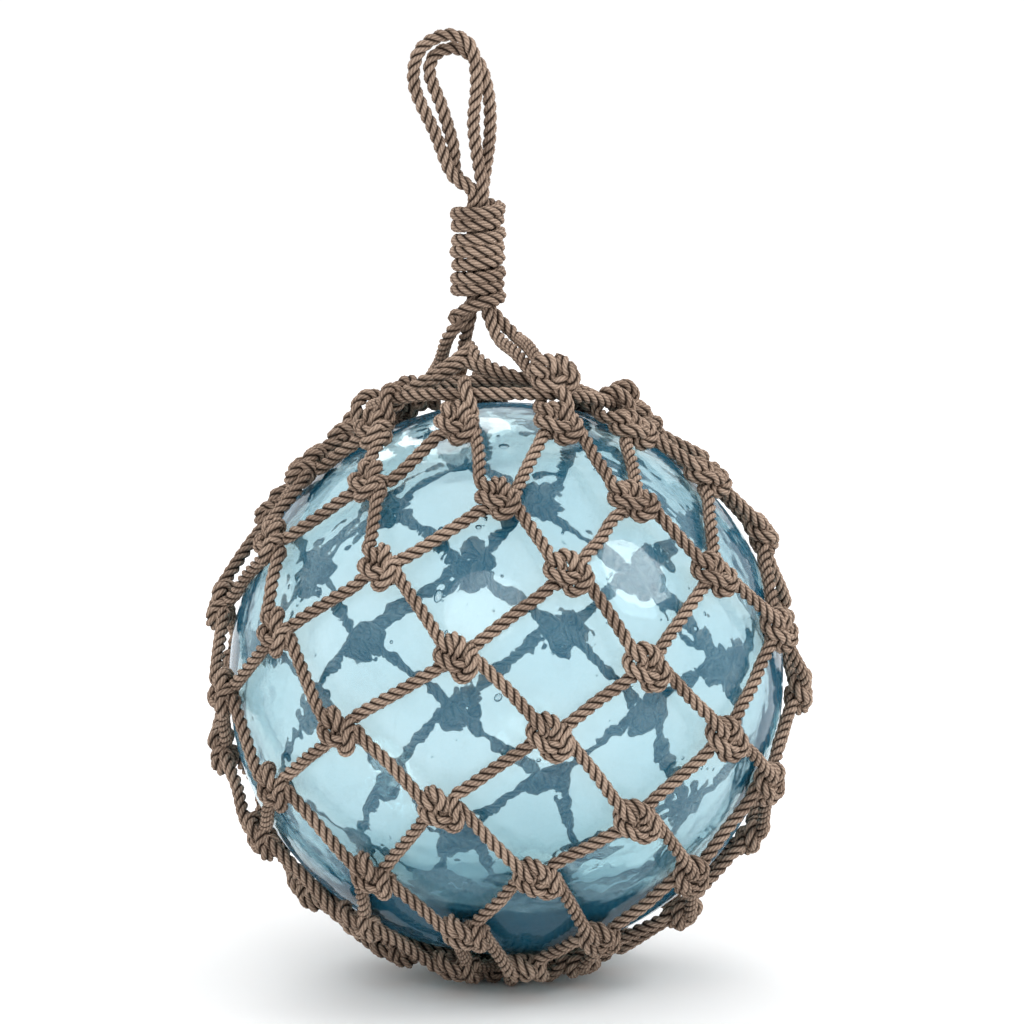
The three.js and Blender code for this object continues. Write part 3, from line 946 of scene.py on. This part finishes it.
@dataclass
class KnottedNet:
    """The diamond net, one zigzag course of rope between each two rows of knots."""

    ball: GlassBall
    ring: GatheringRing
    rope: LaidRope
    knot: MeshKnot
    columns: int = 9
    row_latitudes: tuple[float, ...] = (47.0, 30.5, 14.0, -1.0, -16.0, -31.5, -49.0, -68.0)
    lean: float = 2.1
    turn_least: float = 7.0
    turn_spread: float = 0.6
    turn_middle_row: float = 5.5
    latitude_wander: Wander = Wander(1.5, 2.98, 2.68, -0.17)
    azimuth_wander: Wander = Wander(1.2, 2.52, 2.99, 0.57)
    knot_radius: float = 0.1579
    top_azimuth: float = 24.0
    top_drop: float = 2.4
    top_fall: float = 48.0
    eye_from: int = 4
    eye_to: int = -5
    foot_radius: float = 0.0255
    foot_inner_radius: float = 0.0168
    foot_leg_share: float = 0.25
    foot_reach: float = 0.0085
    foot_reach_rise: float = 0.0003
    foot_tuck: float = 0.002
    foot_tuck_turn: float = 2.0
    foot_tuck_rise: float = 0.0015
    foot_degrees_a_step: float = 2.0
    draw: int = 5
    knot_roll: float = 7.0
    knot_sway: float = 0.05
    leg_sway: float = 0.0004
    leg_stops: tuple[float, ...] = (0.15, 0.5, 0.85)
    curve_steps: int = 6

    def __post_init__(self) -> None:
        """Starts the draws that make each knot a little different."""
        self.random = np.random.default_rng(self.draw)
        self.first_column = -(self.columns // 2)
        self.every_column = range(self.first_column, self.first_column + self.columns)
        self.last_row = len(self.row_latitudes) + 1
        self.column_step = 360.0 / self.columns
        self.frames: dict[tuple[int, int], KnotFrame] = {}

    def wrapped(self, column: int) -> int:
        """A column number brought back into one turn."""
        return (column - self.first_column) % self.columns + self.first_column

    def row_turn(self, row: int) -> float:
        """How far a row is turned about the Z axis: least at the middle row, and half a step
        further on even rows."""
        half = self.column_step / 2 if row % 2 == 0 else 0.0
        return self.turn_least + self.turn_spread * (row - self.turn_middle_row) ** 2 + half

    def direction(self, row: int, column: int) -> Array:
        """The direction from the ball's centre to a knot on the ball, leaned about Y.

        Args:
            row: The knot's row, from the second on.
            column: Its column.

        Returns:
            The direction.
        """
        latitude = self.row_latitudes[row - 2] + self.latitude_wander.at(row, column)
        azimuth = self.row_turn(row) + self.column_step * column + self.azimuth_wander.at(row, column)
        x, y, z = on_sphere(azimuth, latitude)
        lean = np.radians(self.lean)
        return np.array([x * np.cos(lean) + z * np.sin(lean), y, z * np.cos(lean) - x * np.sin(lean)])

    def frame(self, row: int, column: int) -> KnotFrame:
        """Where a knot stands, worked out once.

        Args:
            row: The knot's row.
            column: Its column, of any turn.

        Returns:
            Its place and directions.
        """
        key = (row, self.wrapped(column))
        if key not in self.frames:
            self.frames[key] = self.new_frame(*key)
        return self.frames[key]

    def new_frame(self, row: int, column: int) -> KnotFrame:
        """Works out where a knot stands, rolled a little about its outward direction.

        A knot on the ball stands at the knot radius. One of the first row hangs below the ring, at a
        slant, and is pushed out to that radius where it would come nearer.

        Args:
            row: The knot's row.
            column: Its column.

        Returns:
            Its place and directions.
        """
        if row > 1:
            out = self.direction(row, column)
            centre = self.ball.centre + out * self.knot_radius
            upward = Z_AXIS
        else:
            azimuth = self.top_azimuth + self.column_step * column
            fall = np.radians(self.top_fall)
            away = self.ring.outward(azimuth)
            upward = Z_AXIS * np.sin(fall) - away * np.cos(fall)
            offset = self.ring.point(azimuth) - self.ball.centre
            offset -= upward * self.top_drop * self.rope.diameter
            distance = np.linalg.norm(offset)
            centre = self.ball.centre + offset * max(1.0, self.knot_radius / distance)
            out = away * np.sin(fall) + Z_AXIS * np.cos(fall)
        across = unit(np.cross(upward, out))
        up = np.cross(out, across)
        roll = np.radians(self.random.uniform(-self.knot_roll, self.knot_roll))
        turned = across * np.cos(roll) + up * np.sin(roll)
        return KnotFrame(centre, turned, np.cross(out, turned), out)

    def shaped(self, row: int, column: int, line: Array) -> Array:
        """One of the knot's ropes at a knot, swayed by one slow sine wave in each direction.

        Args:
            row: The knot's row.
            column: Its column.
            line: The rope, in the knot's own directions and in rope diameters.

        Returns:
            Its points.
        """
        phase = self.random.uniform(0.0, 2 * np.pi, 3)
        share = np.linspace(0.0, 2 * np.pi, len(line))[:, None]
        sway = self.knot_sway * np.sin(share + phase)
        return self.frame(row, column).place(line + sway, self.rope.diameter)

    def leg(self, start: Array, end: Array) -> Array:
        """Points of a leg between two knots, a little off its straight line."""
        share = np.array(self.leg_stops)[:, None]
        return start + (end - start) * share + self.random.normal(size=(len(share), 3)) * self.leg_sway

    def held_off(self, path: Array) -> Array:
        """A path pushed out where it would enter the glass, and up where it would enter the floor.

        Args:
            path: Its points.

        Returns:
            Its points, a rope's radius or more from both.
        """
        offset = path - self.ball.centre
        distance = np.linalg.norm(offset, axis=1, keepdims=True)
        least = self.ball.radius + self.rope.radius
        clear = self.ball.centre + offset * np.maximum(1.0, least / distance)
        clear[:, 2] = np.maximum(clear[:, 2], self.rope.radius)
        return clear

    def chain(self, lines: list[Array]) -> Array:
        """Lines joined by straight legs into one closed path.

        Args:
            lines: The lines, in order.

        Returns:
            Points along it, a step or so apart.
        """
        points = []
        for i, line in enumerate(lines):
            points += [line, self.leg(line[-1], lines[(i + 1) % len(lines)][0])]
        return self.held_off(spline(np.vstack(points), True, self.rope.ring_step, self.curve_steps))

    def course(self, row: int) -> Array:
        """The rope between a row and the one above: a bight at each knot of the row and a turn at
        each knot above it.

        Args:
            row: The lower row.

        Returns:
            Points along it, a step or so apart.
        """
        lines = []
        for column in self.every_column:
            lines.append(self.shaped(row, column, self.knot.bight))
            above = column + 1 if row % 2 == 0 else column
            lines.append(self.shaped(row - 1, above, self.knot.turn))
        return self.chain(lines)

    def eye(self, column: int) -> Array:
        """A first-row knot's bight, closed by an eye that goes over the ring from front to back.

        Args:
            column: The knot's column.

        Returns:
            Points at equal steps.
        """
        line = np.vstack([self.knot.bight[self.eye_from : self.eye_to], EYE])
        place = self.frame(1, column).place(line, self.rope.diameter)
        return spline(place, True, self.rope.ring_step, self.curve_steps)

    def foot_course(self) -> Array:
        """The last rope: a turn at each knot of the last row, and between two knots a bight that
        passes over the foot ring inwards and back out under it.

        Returns:
            Points along it, a step or so apart.
        """
        lines = []
        low, high = self.rope.radius, 3 * self.rope.radius
        middle = (low + high) / 2
        outer, inner = self.foot_radius, self.foot_inner_radius
        for column in self.every_column:
            lines.append(self.shaped(self.last_row, column, self.knot.turn))
            there = self.row_turn(self.last_row) + self.column_step * (column + self.foot_leg_share)
            back = there + self.column_step / 2
            bight = [
                (there, outer + self.foot_reach, high - self.foot_reach_rise),
                (there, outer, high),
                (there + self.foot_tuck_turn, inner + self.foot_tuck, middle + self.foot_tuck_rise),
                ((there + back) / 2, inner, middle),
                (back - self.foot_tuck_turn, inner + self.foot_tuck, middle - self.foot_tuck_rise),
                (back, outer, low),
                (back, outer + self.foot_reach, low + self.foot_reach_rise),
            ]
            lines.append(about_axis(*np.array(bight).T))
        return self.chain(lines)

    def foot_ring(self) -> Array:
        """The foot ring: low where a leg crosses over it and high where the leg comes back.

        Its height is a diameter less radius times cos(columns times azimuth from the first leg).

        Returns:
            Points at equal steps.
        """
        azimuth = np.arange(0.0, 360.0, self.foot_degrees_a_step)
        first = self.row_turn(self.last_row) + self.column_step * self.foot_leg_share
        lift = -np.cos(np.radians(self.columns * (azimuth - first)))
        height = self.rope.diameter + self.rope.radius * lift
        radius = np.full(len(azimuth), self.foot_radius)
        return even_steps(about_axis(azimuth, radius, height), True, self.rope.ring_step)

    def build(self, material: bpy.types.Material) -> None:
        """Builds the net, one piece for each course.

        Args:
            material: The rope's material.
        """
        pieces = {"net_eyes": [self.eye(column) for column in self.every_column]}
        for row in range(2, self.last_row + 1):
            pieces[f"net_course_{row}"] = [self.course(row)]
        pieces["net_foot"] = [self.foot_course(), self.foot_ring()]
        for name, paths in pieces.items():
            self.rope.piece(name, paths, True, material, Node.NET)


@dataclass(frozen=True)
class HangingLine:
    """One of the two ropes that the net hangs on.

    Attributes:
        front: 1 for the front rope, -1 for the rear one.
        loop: Points round the loop from left to right: shares of its width across and of its
            height up, and rope diameters to the front.
        splays: Where its left and right leg stand under the neck, across from its axis.
        foot: The azimuth of the left leg's foot on the ring.
        tied: Where its right leg ends in the tie, in rope diameters across and up.
    """

    front: int
    loop: tuple[Place, ...]
    splays: tuple[float, float]
    foot: float
    tied: tuple[float, float]


FRONT_LINE = HangingLine(
    front=1,
    loop=(
        (-0.34, 0.13, 0.35), (-0.6, 0.38, 0.1), (-0.9, 0.68, 0.0), (-0.8, 0.87, 0.1),
        (-0.42, 0.955, 0.4), (-0.12, 0.9, 0.5), (-0.02, 0.7, 0.5), (-0.06, 0.42, 0.5),
    ),
    splays=(-0.0155, 0.011),
    foot=-148.0,
    tied=(-1.1, 0.25),
)
REAR_LINE = HangingLine(
    front=-1,
    loop=(
        (-0.3, 0.13, -0.5), (-0.35, 0.3, -0.5), (-0.5, 0.52, -0.4), (-0.68, 0.74, -0.3),
        (-0.6, 0.83, -0.5), (-0.34, 0.87, -0.6), (-0.02, 0.8, -0.6), (0.14, 0.62, -0.6),
        (0.17, 0.38, -0.6),
    ),
    splays=(-0.0065, 0.0205),
    foot=-162.0,
    tied=(-0.3, 0.85),
)
# The end of a leg over the ring and in again under it: diameters outwards, along it and up.
HITCH = np.array([[0.15, 0.0, 1.05], [1.0, 0.15, 0.35], [0.8, 0.35, -0.75], [-0.2, 0.5, -1.0]])


@dataclass
class HangingRope:
    """The ring, and two ropes that rise from it through the neck and make the loop."""

    ball: GlassBall
    ring: GatheringRing
    rope: LaidRope
    knot: MeshKnot
    neck_shift: float = -0.015
    neck_foot_over_centre: float = 0.201
    neck_height: float = 0.06
    strand_offset: float = 0.0026
    loop_width: float = 0.038
    loop_height: float = 0.092
    leg_exit_drop: float = 0.0038
    leg_exit_share: float = 0.4
    leg_splay_drop: float = 0.0142
    leg_splay_depth: float = 0.1
    lines: tuple[HangingLine, ...] = (FRONT_LINE, REAR_LINE)
    tie_place: Place = (0.0235, -0.052, 0.174)
    tie_roll: float = 30.0
    inner_turns: tuple[Place, ...] = ((0.014, 0.003, 1.0), (0.021, 0.003, 0.55))
    ridge_azimuth: float = -25.0
    ridge_spread: float = 34.0
    ridge_peak: Place = (-0.0184, -0.005, 0.182)

    def strand(self, right: int, front: int, height: float) -> Array:
        """One of the neck's four strands at a height over the ball's centre."""
        across, forward = right * self.strand_offset, front * self.strand_offset
        return np.array([self.neck_shift + across, -forward, self.ball.centre[2] + height])

    def leg(self, right: int, front: int, splay: float, foot: Array) -> Array:
        """A leg's points from the neck, out beside the other legs and down to its foot.

        Args:
            right: 1 for the neck's right side, -1 for its left.
            front: 1 for the front rope, -1 for the rear one.
            splay: Where the leg stands under the neck, across from its axis.
            foot: Where it ends.

        Returns:
            Its points, without the foot.
        """
        start = self.strand(right, front, self.neck_foot_over_centre + self.rope.diameter)
        leaves = self.strand(right, front, self.neck_foot_over_centre - self.leg_exit_drop)
        below = self.strand(right, front, self.neck_foot_over_centre - self.leg_splay_drop)
        below[0] = self.neck_shift + splay
        leaves[0] += self.leg_exit_share * (below[0] - leaves[0])
        below[1] += self.leg_splay_depth * foot[1]
        middle = (below + foot + Z_AXIS * self.rope.radius) / 2
        return np.stack([start, leaves, below, middle])

    def hitch(self, azimuth: float, side: float) -> Array:
        """The end of a leg: over the ring and in again under it.

        Args:
            azimuth: Where it crosses the ring.
            side: 1 or -1, the way that it goes along the ring.

        Returns:
            Its points.
        """
        centre, out = self.ring.point(azimuth), self.ring.outward(azimuth)
        along = np.cross(Z_AXIS, out) * side
        return centre + HITCH @ np.stack([out, along, Z_AXIS]) * self.rope.diameter

    def loop(self, line: HangingLine) -> Array:
        """One rope of the loop, from the neck's middle on the left to its middle on the right.

        Args:
            line: The rope's own values.

        Returns:
            Its points.
        """
        top = self.neck_foot_over_centre + self.neck_height
        across, up, forward = np.array(line.loop).T
        height = self.ball.centre[2] + top + up * self.loop_height
        around = [self.neck_shift + across * self.loop_width, -forward * self.rope.diameter, height]
        heights = [top + self.rope.radius, top - self.rope.diameter, top - self.neck_height / 2]
        left = [self.strand(-1, line.front, height) for height in reversed(heights)]
        right = [self.strand(1, line.front, height) for height in heights]
        return np.vstack([left, np.stack(around, axis=-1), right])

    def hanging(self, line: HangingLine) -> Array:
        """A whole rope: up from the ring, through the neck, round the loop and down to the tie.

        Args:
            line: The rope's own values.

        Returns:
            Points at equal steps.
        """
        tie = self.tie_frame()
        across, up = line.tied
        end = tie.centre + (tie.across * across + tie.up * up) * self.rope.diameter
        points = [
            self.hitch(line.foot, -line.front)[::-1],
            self.leg(-1, line.front, line.splays[0], self.ring.point(line.foot))[::-1],
            self.loop(line),
            self.leg(1, line.front, line.splays[1], end),
            end[None, :],
        ]
        return spline(np.vstack(points), False, self.rope.ring_step)

    def tie_frame(self) -> KnotFrame:
        """Where the knot that ties the right legs to the ring stands.

        Returns:
            Its place and directions.
        """
        roll = np.radians(self.tie_roll)
        out = np.cross(X_AXIS, Z_AXIS)
        across = X_AXIS * np.cos(roll) + Z_AXIS * np.sin(roll)
        centre = self.ball.centre + np.array(self.tie_place)
        return KnotFrame(centre, across, np.cross(out, across), out)

    def inner_turn(self, inset: float, rise: float, lift: float) -> Array:
        """A turn of rope inside the ring, lifted over the mouth to a ridge left of the tie.

        It is drawn to the peak by lift times exp -(azimuth from the ridge / spread) squared.

        Args:
            inset: How far inside the ring it lies.
            rise: How far above the ring it lies.
            lift: The share of the way to the ridge's peak that it is lifted there.

        Returns:
            Points at equal steps.
        """
        inner = replace(
            self.ring,
            half_width=self.ring.half_width - inset,
            half_depth=self.ring.half_depth - inset,
            height_over_centre=self.ring.height_over_centre + rise,
        )
        level = inner.line()
        away = (inner.azimuths() - self.ridge_azimuth + 180.0) % 360.0 - 180.0
        share = lift * np.exp(-((away / self.ridge_spread) ** 2))[:, None]
        peak = self.ball.centre + np.array(self.ridge_peak)
        return even_steps(level + share * (peak - level), True, self.rope.ring_step)

    def build(self, material: bpy.types.Material) -> None:
        """Builds the ring and its inner turns, both hanging ropes and the tie.

        Args:
            material: The rope's material.
        """
        step = self.rope.ring_step
        turns = [even_steps(self.ring.line(), True, step)]
        turns += [self.inner_turn(*turn) for turn in self.inner_turns]
        bends = (self.knot.bight, self.knot.turn)
        places = [self.tie_frame().place(bend, self.rope.diameter) for bend in bends]
        tie = [spline(place, False, step) for place in places]
        hanging = [self.hanging(line) for line in self.lines]
        self.rope.piece("gathering_ring", turns, True, material, Node.HANGING_ROPE)
        self.rope.piece("hanging_ropes", hanging, False, material, Node.HANGING_ROPE)
        self.rope.piece("tie_knot", tie, False, material, Node.HANGING_ROPE)


@dataclass
class NeckWhipping:
    """Turns of rope that bind the neck, with one end below and one tucked in above.

    The points of an end are degrees on from the first or last turn, a distance from the neck's
    axis and a rise over the neck's foot or the last turn. The first steps of the first turn are
    skipped, where the lower end leads in.
    """

    hanging: HangingRope
    rope: LaidRope
    turns: float = 7.6
    steps_a_turn: int = 24
    wrap_radius: float = 0.0113
    first_azimuth: float = -70.0
    height_wander: float = 0.0006
    height_rate: float = 0.37
    radius_wander: float = 0.0005
    radius_rate: float = 0.61
    lower_end: tuple[Place, ...] = ((20.0, 0.0135, -0.006), (2.0, 0.0142, -0.0035))
    upper_end: tuple[Place, ...] = ((35.0, 0.0085, 0.0035), (80.0, 0.004, 0.0055))
    skipped: int = 6
    curve_steps: int = 4

    def path(self) -> Array:
        """The binding's centre line: a helix that rises evenly up the neck, and its two ends.

        Its height and its distance from the axis each wander by a sine of the azimuth.

        Returns:
            Points at equal steps.
        """
        foot = self.hanging.ball.centre[2] + self.hanging.neck_foot_over_centre
        share = np.linspace(0.0, 1.0, int(self.turns * self.steps_a_turn))
        azimuth = self.first_azimuth + 360.0 * self.turns * share
        height = foot + self.rope.radius + share * (self.hanging.neck_height - self.rope.diameter)
        height += self.height_wander * np.sin(self.height_rate * np.radians(azimuth))
        radius = self.wrap_radius + self.radius_wander * np.sin(self.radius_rate * np.radians(azimuth))
        points = np.vstack(
            [
                self.end(self.lower_end, self.first_azimuth, foot),
                about_axis(azimuth, radius, height)[self.skipped :],
                self.end(self.upper_end, azimuth[-1], height[-1]),
            ]
        )
        points[:, 0] += self.hanging.neck_shift
        return spline(points, False, self.rope.ring_step, self.curve_steps)

    @staticmethod
    def end(rows: tuple[Place, ...], azimuth: float, height: float) -> Array:
        """An end of the binding, on from an azimuth and a height."""
        turn, radius, rise = np.array(rows).T
        return about_axis(azimuth + turn, radius, height + rise)

    def build(self, material: bpy.types.Material) -> None:
        """Builds the binding's piece."""
        self.rope.piece("neck_binding", [self.path()], False, material, Node.WHIPPING)


@dataclass(frozen=True)
class SoftBox:
    """A round soft light that faces the ball: its place, its width and its power."""

    name: str
    place: Place
    size: float
    power: float


SOFT_BOXES = (
    SoftBox("front_box", (-0.5, -2.3, 2.0), 1.6, 16.0),
    SoftBox("side_box", (2.2, -0.6, 2.1), 1.4, 28.0),
    SoftBox("back_box", (-0.8, 2.4, 2.4), 1.8, 30.0),
)


@dataclass
class Studio:
    """A pale floor, soft light and the camera.

    The camera is placed by the ball's middle and radius in the picture, in pixels.
    """

    ball: GlassBall
    boxes: tuple[SoftBox, ...] = SOFT_BOXES
    floor_radius: float = 14.0
    floor_corners: int = 72
    camera_distance: float = 3.5
    camera_elevation: float = 10.6
    picture: int = 1024
    ball_pixel: tuple[float, float] = (506.0, 678.0)
    ball_pixel_radius: float = 277.0
    sensor: float = 36.0
    world_strength: float = 1.1

    def floor(self) -> None:
        """Lays a round floor."""
        azimuth = np.arange(self.floor_corners) * 360.0 / self.floor_corners
        rim = about_axis(azimuth, np.full(len(azimuth), self.floor_radius), 0.0 * azimuth)
        mesh = bpy.data.meshes.new("studio_floor")
        mesh.from_pydata(rim.tolist(), [], [list(range(len(rim)))])
        mesh.materials.append(FloorFinish().material())
        put("studio_floor", mesh)

    def lamp(self, box: SoftBox) -> None:
        """Hangs one soft light.

        Args:
            box: Its values.
        """
        light = bpy.data.lights.new(box.name, "AREA")
        light.shape = "DISK"
        light.size = box.size
        light.energy = box.power
        made = put(box.name, light)
        made.location = box.place
        aim = Vector(self.ball.centre) - Vector(box.place)
        made.rotation_euler = aim.to_track_quat("-Z", "Y").to_euler()

    def light(self) -> None:
        """Lights the room: a white surround and soft boxes high in front, at the right and behind."""
        world = bpy.data.worlds.new("studio")
        world.use_nodes = True
        ground = world.node_tree.nodes["Background"]
        ground.inputs["Color"].default_value = (1.0, 1.0, 1.0, 1.0)
        ground.inputs["Strength"].default_value = self.world_strength
        bpy.context.scene.world = world
        for box in self.boxes:
            self.lamp(box)

    def camera(self) -> None:
        """Stands the camera where the ball has its place and size in the picture."""
        rise = np.radians(self.camera_elevation)
        back = np.array([0.0, -np.cos(rise), np.sin(rise)])
        up = np.array([0.0, np.sin(rise), np.cos(rise)])
        scale = self.ball.radius / self.ball_pixel_radius
        right_px = self.picture / 2 - self.ball_pixel[0]
        up_px = self.ball_pixel[1] - self.picture / 2
        aim = self.ball.centre + X_AXIS * right_px * scale + up * up_px * scale
        data = bpy.data.cameras.new("camera")
        data.sensor_width = self.sensor
        data.lens = self.sensor * self.camera_distance / (scale * self.picture)
        made = put("camera", data)
        made.location = self.ball.centre + back * self.camera_distance
        look = Vector(aim) - made.location
        made.rotation_euler = look.to_track_quat("-Z", "Y").to_euler()
        bpy.context.scene.camera = made

    def build(self) -> None:
        """Builds the room around the object."""
        self.camera()
        self.floor()
        self.light()
        bpy.context.scene.view_settings.view_transform = "Standard"


def main() -> None:
    """Builds the ball, its net, its hanging rope and the studio."""
    logging.basicConfig(level=logging.INFO, format="%(message)s")
    rope = LaidRope()
    rope_material = RopeFinish().material(rope.lay_rate)
    ball = GlassBall(GlassFinish())
    Studio(ball).build()
    ball.build()
    ring = GatheringRing(ball)
    knot = MeshKnot()
    KnottedNet(ball, ring, rope, knot).build(rope_material)
    hanging = HangingRope(ball, ring, rope, knot)
    hanging.build(rope_material)
    NeckWhipping(hanging, rope).build(rope_material)


if __name__ == "__main__":
    main()
